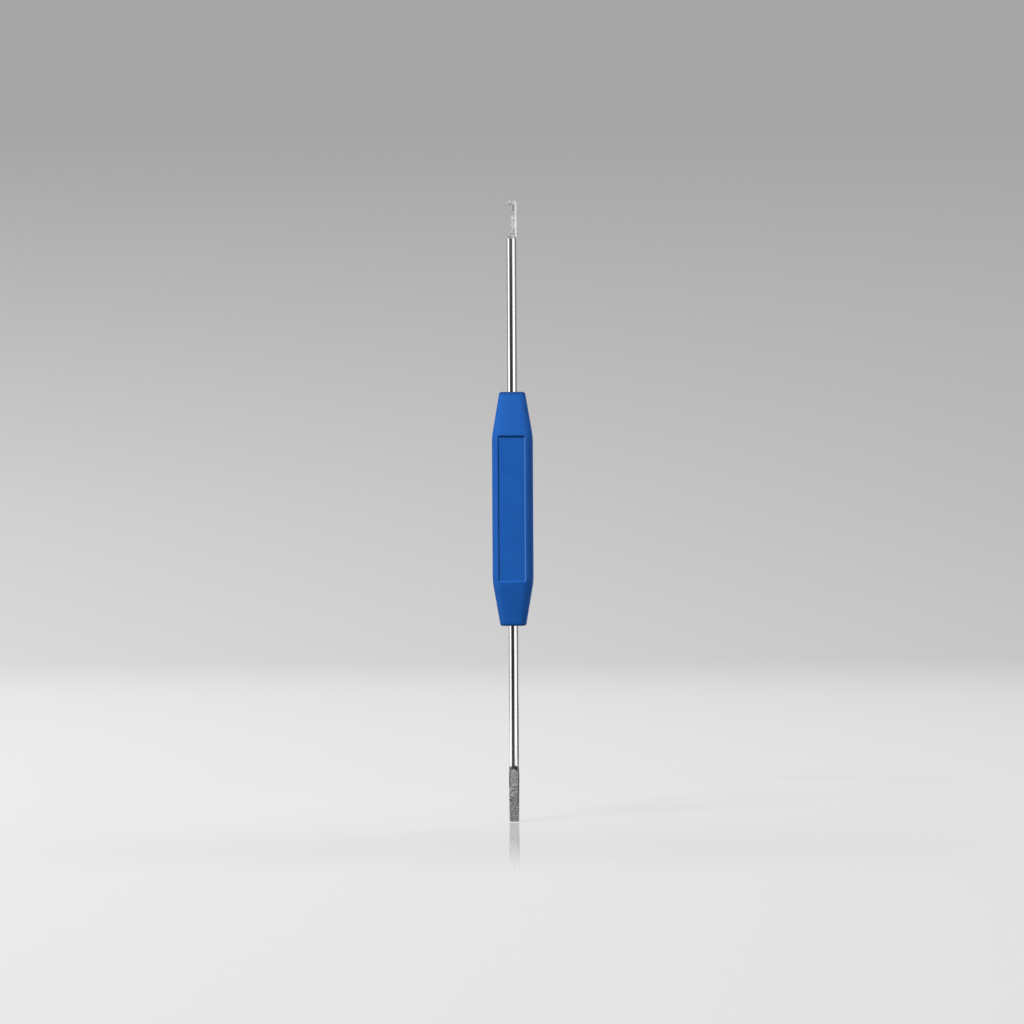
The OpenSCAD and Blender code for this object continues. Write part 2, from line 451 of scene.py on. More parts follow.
def stem_radius(angle, height):
    """Distance from the shaft's axis to the stem's side: square-cornered in front, chamfered behind.

    The front half is a superellipse, (x/a)^p + (y/b)^p = 1. The back half is the least of the distances to
    the flat, to the chamfer and to the back, which reaches out over the heel's slope.
    """
    along, across = np.cos(angle), np.maximum(np.abs(np.sin(angle)), TINY)
    back = np.minimum(STEM_HEEL + height - HOOK_START, HOOK_BACK)
    power = STEM_FRONT_POWER
    front = ((np.abs(along) / -STEM_FRONT) ** power + (across / HOOK_HALF_T) ** power) ** (-1 / power)
    slope = CHAMFER_T / CHAMFER_W
    chamfer = (HOOK_HALF_T - CHAMFER_T + slope * back) / (across + slope * np.maximum(along, 0))
    behind = back / np.maximum(along, TINY)
    least = soft_least(soft_least(HOOK_HALF_T / across, chamfer, EDGE_SHARPNESS), behind, EDGE_SHARPNESS)
    return np.where(along > 0, least, front)


def chamfered_share(x):
    """How much of its thickness the hook keeps at x: all on the flats, and evenly less down the chamfers."""
    down = np.clip((x - HOOK_BACK + CHAMFER_W) / CHAMFER_W, 0, 1)
    return 1 - down * CHAMFER_T / HOOK_HALF_T


def hook_angles():
    """Angles round the hook shaft, closer together at the stem's four corners and its chamfers' edges."""
    even = np.linspace(-180, 180, 96, endpoint=False)
    corner_x = np.array([STEM_FRONT, HOOK_BACK - CHAMFER_W, HOOK_BACK, HOOK_BACK])
    corner_y = np.array([HOOK_HALF_T, HOOK_HALF_T, HOOK_HALF_T - CHAMFER_T, HOOK_HALF_T])
    corner = np.degrees(np.arctan2(corner_y, corner_x))[:, None]
    close = (corner + np.array([-4, -2.5, -1.2, -0.5, 0, 0.5, 1.2, 2.5, 4])).ravel()
    return np.radians(np.unique(np.round(np.concatenate([even, close, -close]), 2)))


def past_foot(height):
    """Eases from 0 to 1 as a height passes the edge where the round shaft turns into the cone."""
    return fade(height, HOOK_START - CONE_GROUND_L / 2, HOOK_START + CONE_GROUND_L / 2)


def hook_foot_rings(angle):
    """Where the round shaft narrows in a cone, out of which the stem rises: the greater of the two radii.

    The cone leans to the stem's back. At each height it is a circle of radius r, whose middle is moved by
    c, so a point of it lies at c cos(angle) + sqrt(r^2 - c^2 sin^2(angle)) from the axis.

    The painted shade darkens the top of the corner where the stem's flats meet the cone, and the cone's lip
    side.
    """
    height = HOOK_START + np.linspace(0, 1, 56) * (CONE_L + 0.1 * MM)
    rise = (height - HOOK_START)[:, None]
    circle = np.maximum(SHAFT_R - rise * CONE_SLOPE, CONE_TIP_R)
    moved = rise * CONE_LEAN
    cone = moved * np.cos(angle) + np.sqrt(np.maximum(circle**2 - (moved * np.sin(angle)) ** 2, 0))
    cone = np.maximum(cone, CONE_TIP_R)
    stem = stem_radius(angle[None, :], height[:, None])
    radius = soft_most(cone, stem, FILLET_SHARPNESS)
    arch_top = HOOK_START + (SHAFT_R - HOOK_HALF_T) / CONE_SLOPE
    corner = hump(cone - stem, 0, ARCH_SHADE_W) * fade(np.abs(np.sin(angle)), 0, 0.5)
    corner = corner * fade(height, arch_top - ARCH_SHADE_L, arch_top)[:, None]
    to_back = fade(np.cos(angle), -0.1, 0.4)
    on_cone = CONE_FRONT_SHADE + (CONE_BACK_SHADE - CONE_FRONT_SHADE) * to_back
    painted_shade = np.maximum(corner, on_cone * fade(cone - stem, 0, ARCH_SHADE_W))
    painted_shade = painted_shade * past_foot(height)[:, None]
    return around_axis(radius, np.broadcast_to(angle, radius.shape), height), painted_shade


def hook_bend_path(rise):
    """The inner and outer edge's X and Z, up the stem and round the notch, and the turn past the crown.

    The inner edge follows the stem's front and the notch's arc. The outer one follows the stem's back, the
    small crown and the top.
    """
    notch_x = STEM_FRONT - NOTCH_R
    last_turn = np.arccos((LIP_END - notch_x) / NOTCH_R)
    crown_turn = np.arctan2(HOOK_TIP - NOTCH_Z, HOOK_BACK - notch_x)
    close = crown_turn + np.radians([-1.6, -0.8, 0, 0.8, 1.6])
    turn = np.sort(np.append(np.linspace(0, last_turn, 44)[1:], close))
    crown = np.linspace(0, np.pi / 2, 9)
    path_x = np.concatenate([[HOOK_BACK], HOOK_BACK - CROWN_R * (1 - np.cos(crown)), [LIP_END]])
    path_z = np.concatenate([[NOTCH_Z], HOOK_TIP - CROWN_R * (1 - np.sin(crown)), [HOOK_TIP]])
    path = np.concatenate([[0], np.cumsum(np.hypot(np.diff(path_x), np.diff(path_z)))])
    way = np.interp(turn, [0, crown_turn, last_turn], [0, path[len(path) // 2], path[-1]])
    straight = np.ones(len(rise))
    inner_x = np.append(straight * STEM_FRONT, notch_x + NOTCH_R * np.cos(turn))
    inner_z = np.append(rise, NOTCH_Z + NOTCH_R * np.sin(turn))
    outer_x = np.append(straight * HOOK_BACK, np.interp(way, path, path_x))
    outer_z = np.append(rise, np.interp(way, path, path_z))
    past_crown = np.append(straight * -crown_turn, turn - crown_turn)
    edges = [inner_x, inner_z, outer_x, outer_z, past_crown]
    return [values[:, None] for values in edges]


def hook_bend_rings(angle, section):
    """The stem's section carried up the stem, round the notch's top and out to the end of the lip.

    A point keeps its share of the way from the inner edge to the outer one, and its share of the thickness.
    The thickness falls off down the chamfers, right up to the top, and the section squares off past the
    crown. The painted shade is a band along the inner edge, which is broader at the crown.
    """
    rise = np.linspace(section[0, 2], NOTCH_Z, 10)[1:]
    inner_x, inner_z, outer_x, outer_z, past_crown = hook_bend_path(rise)
    along = np.cos(angle)
    flat = HOOK_HALF_T / np.maximum(np.abs(np.sin(angle)), TINY)
    square_r = soft_least(flat, np.where(along > 0, HOOK_BACK, -STEM_FRONT) / np.abs(along), EDGE_SHARPNESS)
    squared = fade(past_crown, -0.15, 0.02)
    stem_share = (section[:, 0] - STEM_FRONT) / STEM_W
    top_share = (square_r * along - STEM_FRONT) / STEM_W
    stem_side = np.clip(section[:, 1] / (HOOK_HALF_T * chamfered_share(section[:, 0])), -1, 1)
    top_side = square_r * np.sin(angle) / HOOK_HALF_T
    share = stem_share + squared * (top_share - stem_share)
    side = stem_side + squared * (top_side - stem_side)
    x = inner_x + share * (outer_x - inner_x)
    z = inner_z + share * (outer_z - inner_z)
    rings = np.stack([x, side * HOOK_HALF_T * chamfered_share(x), z], axis=-1)
    deep = share * np.hypot(outer_x - inner_x, outer_z - inner_z)
    below = fade(np.minimum(inner_z, NOTCH_Z), NOTCH_Z - NOTCH_SHADE_L, NOTCH_Z)
    before_end = fade(x, LIP_END - 0.06 * MM, LIP_END + 0.24 * MM)
    return rings, below * before_end * notch_shade(deep, past_crown)


def notch_shade(deep, past_crown):
    """How dark the painted shade is at a depth behind the hook's inner edge: a bell curve, broader at the
    crown.
    """
    along_lip = fade(past_crown, -0.6, 0.4)
    at_crown = hump(past_crown, 0, 0.45)
    middle = (0.6 - 0.3 * along_lip + 0.25 * at_crown) * MM
    width = (0.32 - 0.08 * along_lip + 0.3 * at_crown) * MM
    strength = NOTCH_SHADE + (CROWN_SHADE - NOTCH_SHADE) * at_crown
    return strength * hump(deep, middle, width)


def hook_lip_highlight(rings):
    """Where a highlight is painted on the lip: down its end, and along the top near that end."""
    x, z = rings[..., 0], rings[..., 2]
    end = hump(x, LIP_END, LIP_HIGHLIGHT_W) * (z > NOTCH_Z)
    top = hump(z, HOOK_TIP, LIP_HIGHLIGHT_W) * fade(x, -0.5 * MM, -0.9 * MM)
    return np.maximum(LIP_END_HIGHLIGHT * end, LIP_TOP_HIGHLIGHT * top)


def hook_piece(material):
    """The upper shaft with its hook: tail, round shaft, foot, stem and lip as one skin.

    It is ground from the foot on, less so down the chamfers at the back, with painted shade at the notch and
    foot, and a painted highlight on the lip.
    """
    angle = hook_angles()
    tail = np.concatenate([tail_rings(angle), bare_rings(angle, HOOK_START)])
    foot, foot_shade = hook_foot_rings(angle)
    bend, bend_shade = hook_bend_rings(angle, foot[-1])
    bend[-1, :, 0] += LIP_BEVEL
    end = blunt_end(bend[-1], (-1, 0, 0), LIP_BEVEL)
    rings = np.concatenate([tail, foot, bend, end])
    painted_shade = np.concatenate([np.zeros(tail.shape[:2]), foot_shade, bend_shade, np.zeros(end.shape[:2])])
    chamfer = fade(rings[..., 0], HOOK_BACK - 1.2 * CHAMFER_W, HOOK_BACK - 0.8 * CHAMFER_W)
    piece = skin("hooked_shaft", rings, material)
    mark(piece, "ground", past_foot(rings[..., 2]) * (1 - CHAMFER_DRAWN * chamfer))
    # Painted shade at the foot's corner, on the cone's front and along the notch
    mark(piece, "painted_shade", painted_shade)
    # A painted highlight down the lip's end and along its top
    mark(piece, "lightened", hook_lip_highlight(rings))
    return piece


# The blade

def blade_half_t(height):
    """Half the blade's thickness at a height: a taper, a fine groove at the break, and the last grind."""
    thickness = [BLADE_ROOT_T, GRIND_T, BLADE_TIP_T]
    taper = np.interp(height, [BLADE_START, GRIND_START, BLADE_END], thickness) / 2
    return taper - BREAK_DEPTH * hump(height, GRIND_START, BREAK_W)


def blade_half_w(height):
    """Half the blade's width at a height: the shaft's radius, a slight swell, and that radius at the tip."""
    swell = [SHAFT_R, SHAFT_R + BLADE_SWELL, SHAFT_R]
    return np.interp(height, [BLADE_START, BLADE_START + SWELL_L, BLADE_END], swell)


def blade_angles(height):
    """Angles round the blade at each height (levels x lines), with lines along the flats' edges."""
    corner = np.arcsin(blade_half_t(height) / blade_half_w(height))[:, None]
    side = np.array([0, 0.25, 0.5, 0.75])
    near = np.radians([-3, -1.5, -0.6, 0, 0.6, 1.5, 3])
    flat = np.linspace(0, 1, 26)[1:]
    start = corner + np.radians(3)
    quarter = np.concatenate(
        [corner * side * 0.85, corner + near, start + (np.pi / 2 - start) * flat], axis=1)
    half = np.concatenate([quarter, np.pi - quarter[:, -2:0:-1]], axis=1)
    return np.concatenate([half, half + np.pi], axis=1)


def blade_rings():
    """The blade pointing up: a round blank cut by two tapering flats, joined to the shaft's end cone."""
    break_start, break_end = GRIND_START - 3 * BREAK_W, GRIND_START + 3 * BREAK_W
    height = np.concatenate([
        BLADE_START + np.linspace(0, ROOT_L, 40, endpoint=False),
        np.linspace(BLADE_START + ROOT_L, break_start, 30, endpoint=False),
        np.linspace(break_start, break_end, 16, endpoint=False),
        np.linspace(break_end, BLADE_END, 24),
    ])
    angle = blade_angles(height)
    slab = blade_half_t(height)[:, None] / np.maximum(np.abs(np.sin(angle)), TINY)
    blank = np.broadcast_to(blade_half_w(height)[:, None], angle.shape)
    blade = soft_least(blank, slab, BLADE_SHARPNESS)
    cone = np.maximum(SHAFT_R - (height - BLADE_START) * CONE_SLOPE, CONE_TIP_R)[:, None]
    radius = np.minimum(soft_most(blade, cone, FILLET_SHARPNESS), blank)
    return around_axis(radius, angle, height)


def ramp_way(rings):
    """How far along the ramp's painted shade a point is, from 0 to 1. The start reaches up the shaft's
    middle.
    """
    across, height = rings[..., 0] / SHAFT_R, rings[..., 2]
    return (height - BLADE_START) / RAMP_SHADE_L + 0.35 * hump(across, 0.05, 0.4)


def blade_shade(rings):
    """How dark the painted shade makes each point of the blade: the ramp, the long edges above the break,
    the break's ends, and a little from the break to the tip.
    """
    across, height = rings[..., 0] / SHAFT_R, rings[..., 2]
    way = ramp_way(rings)
    ramp = fade(way, -0.05, 0.1) * fade(way - 0.3 * across, 1.25, 0.8)
    ramp = ramp * (1 - RAMP_SIDES_LESS_SHADE * fade(np.abs(across - 0.12), 0.45, 0.75))
    to_break = (height - GRIND_START) / BREAK_W
    edge = fade(np.abs(across), 0.8, 0.9) + EDGE_LINE_SHARE * hump(across, 0.62, 0.06)
    left_end = fade(height - BLADE_START, LEFT_EDGE_L, LEFT_EDGE_L + MM) * (across < 0)
    long_edge = EDGE_SHADE * edge * fade(way, 0, 2) * fade(to_break, 0, -4) * (1 - left_end)
    break_end = hump(to_break, 0, 2) * fade(np.abs(across), 0.45, 0.75)
    past_break = PAST_BREAK_SHADE * fade(to_break, -16, 4)
    return np.maximum(np.maximum(ramp, long_edge), np.maximum(break_end, past_break))


def blade_piece(material):
    """The lower shaft with its blade, made pointing up and then turned half round about X to point down."""
    blade = blade_rings()
    angle = np.arctan2(blade[0, :, 1], blade[0, :, 0])
    tail = np.concatenate([tail_rings(angle), bare_rings(angle, BLADE_START)])
    blade[-1, :, 2] -= BLADE_BEVEL
    end = blunt_end(blade[-1], (0, 0, 1), BLADE_BEVEL)
    rings = np.concatenate([tail, blade, end])
    piece = skin("bladed_shaft", rings * np.array([1, -1, -1]), material)
    mark(piece, "ground", fade(ramp_way(rings), 0, GROUND_START_L / RAMP_SHADE_L))
    # Painted shade on the ramp, the long edges, the break's ends and past the break
    mark(piece, "painted_shade", blade_shade(rings))
    return piece


# Materials

PLASTIC_DEEP = (0.01, 0.084, 0.34, 1)
PLASTIC_LIGHT = (0.012, 0.094, 0.37, 1)
# The pale of worn corners and of the painted highlight on the plastic, and the dark of its painted shade
PLASTIC_RUBBED_AND_LIT = (0.1, 0.21, 0.55, 1)
PLASTIC_SHADED = (0.001, 0.015, 0.08, 1)
DRAWN_DARK = (0.58, 0.58, 0.575, 1)
DRAWN_LIGHT = (0.7, 0.7, 0.69, 1)
PIT_GREY = (0.08, 0.08, 0.082, 1)
# The dark of the painted shade on steel
SHADE_GREY = (0.03, 0.03, 0.032, 1)
HOOK_DARK = (0.34, 0.34, 0.34, 1)
HOOK_LIGHT = (0.74, 0.74, 0.73, 1)
BLADE_DARK = (0.07, 0.07, 0.07, 1)
BLADE_LIGHT = (0.53, 0.53, 0.53, 1)
GRAIN_RELIEF = 0.03 * MM
CLOUDS_PER_METRE = 260
PLASTIC_GRAINS_PER_METRE = 5200


class Painter:
    """Adds nodes to one node tree and joins their sockets."""

    def __init__(self, tree):
        self.tree = tree

    def add(self, kind, **inputs):
        """A new node whose named inputs are set to a value or joined to another node's output."""
        node = self.tree.nodes.new(kind)
        for name, value in inputs.items():
            self.set(node, name.replace("_", " "), value)
        return node

    def set(self, node, name, value):
        """Sets one input, by name or number, to a value or joins it to an output."""
        socket = node.inputs[name]
        if isinstance(value, bpy.types.NodeSocket):
            self.tree.links.new(value, socket)
        else:
            socket.default_value = value

    def math(self, operation, first, second=0.0):
        """The output of a math node on two values or outputs."""
        node = self.tree.nodes.new("ShaderNodeMath")
        node.operation = operation
        self.set(node, 0, first)
        self.set(node, 1, second)
        return node.outputs[0]

    def between(self, share, first, second):
        """A number that goes from the first to the second as the share goes from 0 to 1."""
        kept = self.math("SUBTRACT", 1.0, share)
        return self.math("ADD", self.math("MULTIPLY", first, kept), self.math("MULTIPLY", second, share))

    def blend(self, share, first, second):
        """The output of a colour mix, from the first colour to the second."""
        node = self.tree.nodes.new("ShaderNodeMix")
        node.data_type = "RGBA"
        self.set(node, 0, share)
        self.set(node, 6, first)
        self.set(node, 7, second)
        return node.outputs[2]

    def spread(self, value, low, high, to_low, to_high, ease="LINEAR"):
        """A value moved evenly or eased, and held, from one range to another."""
        node = self.add("ShaderNodeMapRange", Value=value)
        node.interpolation_type = ease
        limits = {"From Min": low, "From Max": high, "To Min": to_low, "To Max": to_high}
        for name, limit in limits.items():
            self.set(node, name, limit)
        return node.outputs["Result"]

    def noise(self, place, scale, detail, roughness=0.5):
        """A noise from 0 to 1 over a place, with so many features a metre."""
        node = self.add(
            "ShaderNodeTexNoise", Vector=place, Scale=scale, Detail=detail, Roughness=roughness)
        return node.outputs["Fac"]

    def own(self, name):
        """The piece's own attribute of that name."""
        node = self.tree.nodes.new("ShaderNodeAttribute")
        node.attribute_name = name
        return node.outputs["Fac"]

    def place(self, stretch=(1, 1, 1)):
        """The piece's own coordinates in metres, each axis multiplied by its stretch."""
        coordinates = self.tree.nodes.new("ShaderNodeTexCoord").outputs["Object"]
        return self.add("ShaderNodeMapping", Vector=coordinates, Scale=stretch).outputs["Vector"]


def new_group(name, inputs, outputs):
    """An empty shader node group with number inputs and outputs, as its painter and its two end nodes."""
    tree = bpy.data.node_groups.new(name, "ShaderNodeTree")
    for socket in inputs:
        tree.interface.new_socket(socket, in_out="INPUT", socket_type="NodeSocketFloat")
    for socket in outputs:
        tree.interface.new_socket(socket, in_out="OUTPUT", socket_type="NodeSocketFloat")
    painter = Painter(tree)
    return painter, painter.add("NodeGroupInput"), painter.add("NodeGroupOutput")


def drawn_lines_group():
    """Fine lines along Z, as a drawing die leaves them, and the slow waver of a drawn surface."""
    painter, given, result = new_group(
        "drawn_lines", ["Lines per Metre", "Waver per Metre"], ["Lines", "Waver"])
    lines = painter.noise(painter.place((1, 1, 0.012)), given.outputs["Lines per Metre"], 3, 0.6)
    waver = painter.noise(painter.place((1, 1, 0.35)), given.outputs["Waver per Metre"], 2)
    painter.set(result, "Lines", lines)
    painter.set(result, "Waver", waver)
    return painter.tree


def ground_grain_group():
    """The mottled grain of steel that has been squeezed and then ground on a coarse wheel."""
    painter, given, result = new_group("ground_grain", ["Grains per Metre"], ["Grain", "Pits"])
    place = painter.place()
    scale = given.outputs["Grains per Metre"]
    coarse = painter.noise(place, scale, 3, 0.6)
    pits = painter.noise(place, painter.math("MULTIPLY", scale, 0.55), 1)
    painter.set(result, "Grain", painter.spread(coarse, 0.38, 0.62, 0, 1))
    painter.set(result, "Pits", painter.spread(pits, 0.56, 0.7, 0, 1))
    return painter.tree


def new_material(name):
    """A new material, the painter of its node tree, and its Principled shader."""
    material = bpy.data.materials.new(name)
    material.use_nodes = True
    painter = Painter(material.node_tree)
    return material, painter, material.node_tree.nodes["Principled BSDF"]


def add_group(painter, group, **inputs):
    """The outputs of a shader node group placed in a material, with its own values."""
    node = painter.tree.nodes.new("ShaderNodeGroup")
    node.node_tree = group
    for name, value in inputs.items():
        painter.set(node, name.replace("_", " "), value)
    return node.outputs


def blue_plastic():
    """Satin moulded plastic: a faint cloudiness, a fine spark-eroded grain, polish where it is worn, a
    painted highlight on the panels' right walls, and painted shade on their other walls and the end rims.
    """
    material, painter, shader = new_material("blue_moulded_plastic")
    place = painter.place()
    cloud = painter.noise(place, CLOUDS_PER_METRE, 3)
    grain = painter.noise(place, PLASTIC_GRAINS_PER_METRE, 2, 0.6)
    # Paler for worn corners and for the painted highlight on the panels' right walls
    lightened = painter.math("MULTIPLY", painter.own("wear_and_highlight"), painter.spread(grain, 0.3, 0.7, 0.5, 1))
    blue = painter.blend(painter.spread(cloud, 0.3, 0.7, 0, 1), PLASTIC_DEEP, PLASTIC_LIGHT)
    pale = painter.blend(painter.math("MULTIPLY", lightened, 0.75), blue, PLASTIC_RUBBED_AND_LIT)
    # Painted shade on the panels' left, top and lower walls and on the end rims
    shaded = painter.blend(painter.math("MULTIPLY", painter.own("painted_grip_shade"), 0.75), pale, PLASTIC_SHADED)
    rough = painter.spread(grain, 0.3, 0.7, 0.52, 0.62)
    bump = painter.add("ShaderNodeBump", Strength=0.25, Distance=GRAIN_RELIEF, Height=grain)
    painter.set(shader, "Base Color", shaded)
    painter.set(shader, "Specular IOR Level", 0.05)
    painter.set(shader, "Roughness", painter.math("SUBTRACT", rough, painter.math("MULTIPLY", lightened, 0.08)))
    painter.set(shader, "Normal", bump.outputs["Normal"])
    return material


def drawn_and_ground_steel(name, groups, dark, light, ground_rough):
    """Bright drawn steel with fine lines along it, which turns to grainy steel where it was ground, and
    takes the pieces' painted shade and painted highlight.
    """
    material, painter, shader = new_material(name)
    ground = painter.own("ground")
    drawn = add_group(painter, groups["drawn"], Lines_per_Metre=9000, Waver_per_Metre=1400)
    grain = add_group(painter, groups["ground"], Grains_per_Metre=3200)
    lines, waver = drawn["Lines"], drawn["Waver"]
    bright = painter.blend(lines, DRAWN_DARK, DRAWN_LIGHT)
    # The lip's painted highlight lifts the grain towards the light steel
    mottled = painter.blend(painter.math("MAXIMUM", grain["Grain"], painter.own("lightened")), dark, light)
    pitted = painter.blend(painter.math("MULTIPLY", grain["Pits"], 0.4), mottled, PIT_GREY)
    clean = painter.blend(ground, bright, pitted)
    # The pieces' painted shade, a little weaker on the grain's light flecks
    painted_shade = painter.math("MULTIPLY", painter.own("painted_shade"), painter.spread(grain["Grain"], 0, 1, 1.0, 0.75))
    drawn_rough = painter.spread(lines, 0.3, 0.7, 0.12, 0.18)
    grain_rough = painter.spread(grain["Grain"], 0, 1, ground_rough, ground_rough + 0.12)
    fine = painter.math("ADD", painter.math("MULTIPLY", lines, 0.08), painter.math("MULTIPLY", waver, 0.15))
    relief = painter.between(ground, fine, grain["Grain"])
    bump = painter.add("ShaderNodeBump", Strength=0.5, Distance=GRAIN_RELIEF, Height=relief)
    painter.set(shader, "Metallic", 1.0)
    painter.set(shader, "Base Color", painter.blend(painted_shade, clean, SHADE_GREY))
    painter.set(shader, "Roughness", painter.between(ground, drawn_rough, grain_rough))
    painter.set(shader, "Normal", bump.outputs["Normal"])
    return material


# The studio

FLOOR_GAP = 0.2 * MM
FLOOR_Z = -BLADE_END - FLOOR_GAP
TABLE_HALF_W = 0.36
TABLE_FRONT = -0.42
TABLE_LIP_R = 0.012
TABLE_T = 0.04
SWEEP_BACK = 0.9
SWEEP_R = 0.25
SWEEP_TOP = 1.0
SWEEP_FOOT = 0.014
SWEEP_DARK = 0.2
ROOM_DROP = 0.75
ROOM_HALF = 8.0
ROOM_LIGHT = (0.1, 0.1, 0.1, 1)
ROOM_SEEN = (0.3, 0.3, 0.3, 1)

# The table's paper, and the stretches of it over which mirrors see it darker, brighter or glowing
PAPER_LIT = 0.15
RIGHT_DIMS = 0.43
FRONT_Y = (-0.12, -0.02)
FRONT_X = (0.05, 0.12)
FRONT_DIMS = 0.9
RIGHT_BRIGHTENS = -1
SWEEP_GLOW = 0.4
GLOW_Z = (0.02, 0.06)

# The stretches over which the sheen under the tool fades, and how much grey makes up for what it dims
COAT_NEAR = (-0.15, -0.045)
COAT_FAR = (0.02, 0.2)
COAT_SIDE = (0.05, 0.15)
COAT_DIMS = 0.03
COAT_DIMS_POWER = 1.8

# The dark felt behind the camera, and the camera
FELT_GREY = (0.015, 0.015, 0.015, 1)
FLAG_AWAY = 1.35
FLAG_HALF_H = 0.2
FLAG_LEFT = np.radians(-49)
FLAG_RIGHT = np.radians(14)
CAMERA_AWAY = 0.998
CAMERA_LENS = 130
CAMERA_ROLL = np.radians(0.3)
CAMERA_TURN = np.radians(3)
CAMERA_X = -0.22 * MM
CAMERA_Z = -0.84 * MM


def to_camera_or_mirror(painter, path):
    """1 for a ray from the camera, a mirror or glass, and 0 for a ray that lights a surface."""
    mirrored = painter.math("MAXIMUM", path["Is Glossy Ray"], path["Is Transmission Ray"])
    return painter.math("MAXIMUM", path["Is Camera Ray"], mirrored)


def paper_grey(painter, place, rising, near, far, low, high):
    """The paper's grey: near to far along the table, low to high up the sweep, and darker to the right."""
    table = painter.spread(place["Y"], TABLE_FRONT, SWEEP_BACK - SWEEP_R, near, far)
    wall = painter.spread(place["Z"], FLOOR_Z + SWEEP_FOOT, SWEEP_DARK, low, high)
    aside = painter.spread(place["X"], -TABLE_HALF_W, TABLE_HALF_W, -TABLE_HALF_W, TABLE_HALF_W)
    to_right = painter.math("MULTIPLY", aside, painter.spread(place["Z"], 0, SWEEP_DARK, RIGHT_DIMS, 0))
    kept = painter.math("SUBTRACT", 1.0, to_right)
    return painter.math("MULTIPLY", painter.blend(rising, table, wall), kept)


def paper_shown(painter, place, path):
    """How much of its grey the paper shows: all, but to a mirror less at its front and more at its right."""
    front = painter.math("MULTIPLY", path["Is Glossy Ray"], painter.spread(place["Y"], *FRONT_Y, 1, 0))
    dims = painter.spread(place["X"], *FRONT_X, FRONT_DIMS, RIGHT_BRIGHTENS)
    return painter.math("SUBTRACT", 1.0, painter.math("MULTIPLY", front, dims))


def paper_coat(painter, place, sheen):
    """The weight of the paper's coat: the sheen under the tool, which fades out all round."""
    near = painter.spread(place["Y"], *COAT_NEAR, 0, sheen, "SMOOTHSTEP")
    far = painter.spread(place["Y"], *COAT_FAR, 1, 0, "SMOOTHSTEP")
    side = painter.spread(painter.math("ABSOLUTE", place["X"]), *COAT_SIDE, 1, 0, "SMOOTHSTEP")
    return painter.math("MULTIPLY", painter.math("MULTIPLY", near, far), side)


def studio_paper(name, near, far, low, high, sheen):
    """Pale paper of an even grey that shades off: near and far on the table, low and high where it rises.

    Most of its grey is its own, which only the camera and mirrors see, so that it sheds little light, and
    the rest is lit and takes the shadow. To a mirror, the table's front is about as dark as the felt card
    beyond it, and white at the right.
    """
    material, painter, shader = new_material(name)
    place = painter.add("ShaderNodeSeparateXYZ", Vector=painter.place()).outputs
    path = painter.add("ShaderNodeLightPath").outputs
    rising = painter.spread(place["Z"], FLOOR_Z, FLOOR_Z + SWEEP_FOOT, 0, 1)
    grey = paper_grey(painter, place, rising, near, far, low, high)
    shown = paper_shown(painter, place, path)
    coat = paper_coat(painter, place, sheen)
    made_up = painter.math("MULTIPLY", painter.math("POWER", coat, COAT_DIMS_POWER), COAT_DIMS)
    low_glow = painter.spread(place["Z"], *GLOW_Z, SWEEP_GLOW, 0)
    glow = painter.math("MULTIPLY", path["Is Glossy Ray"], low_glow)
    seen = painter.math("ADD", to_camera_or_mirror(painter, path), glow)
    seen = painter.math("MULTIPLY", seen, shown)
    own = painter.math("MULTIPLY", painter.math("ADD", grey, made_up), seen)
    table_lit = painter.spread(rising, 0, 1, PAPER_LIT, 0)
    lit = painter.math("MULTIPLY", painter.math("MINIMUM", shown, 1.0), table_lit)
    painter.set(shader, "Base Color", lit)
    painter.set(shader, "Emission Color", own)
    painter.set(shader, "Emission Strength", 1.0)
    painter.set(shader, "Coat Weight", coat)
    painter.set(shader, "Coat Roughness", 0.05)
    painter.set(shader, "Coat IOR", 1.2)
    painter.set(shader, "Specular IOR Level", 0.0)
    return material


def sheet_mesh(name, points, material):
    """A single-sided sheet of the stage from a grid of points (rows x columns x 3)."""
    rows, columns = points.shape[:2]
    row, column = np.meshgrid(np.arange(rows - 1), np.arange(columns - 1), indexing="ij")
    first = row * columns + column
    quads = np.stack([first, first + 1, first + columns + 1, first + columns], axis=-1).reshape(-1, 4)
    mesh = bpy.data.meshes.new(name)
    mesh.from_pydata(points.reshape(-1, 3).tolist(), [], quads.tolist())
    mesh.shade_smooth()
    mesh.materials.append(material)
    sheet = bpy.data.objects.new(name, mesh)
    bpy.context.scene.collection.objects.link(sheet)
    return sheet


def across(half_w, along, above):
    """A sheet's grid of points: a profile of Y and Z carried across from one side to the other."""
    x, y = np.meshgrid([-half_w, half_w], along)
    return np.stack([x, y, np.repeat(above[:, None], 2, axis=1)], axis=-1)


def studio_table():
    """Pale paper over a table: down its front edge, flat under the blade's tip, an arc up, and upright.

    A plain floor lies well below it.
    """
    turn = np.linspace(0, np.pi / 2, 24)
    along = np.concatenate([
        [TABLE_FRONT - TABLE_LIP_R], TABLE_FRONT - TABLE_LIP_R * np.cos(turn),
        SWEEP_BACK - SWEEP_R + SWEEP_R * np.sin(turn), [SWEEP_BACK]])
    above = np.concatenate([
        [-TABLE_T], TABLE_LIP_R * (np.sin(turn) - 1), SWEEP_R * (1 - np.cos(turn)), [SWEEP_TOP]])
    paper = studio_paper("table_paper", near=0.495, far=0.58, low=0.625, high=0.375, sheen=1.0)
    sheet_mesh("paper_table", across(TABLE_HALF_W, along, above + FLOOR_Z), paper)
    edge = np.array([-ROOM_HALF, ROOM_HALF])
    lower = np.full(2, FLOOR_Z - ROOM_DROP)
    plain = studio_paper("room_floor", near=0.3, far=0.3, low=0.3, high=0.3, sheen=0)
    sheet_mesh("room_floor", across(ROOM_HALF, edge, lower), plain)


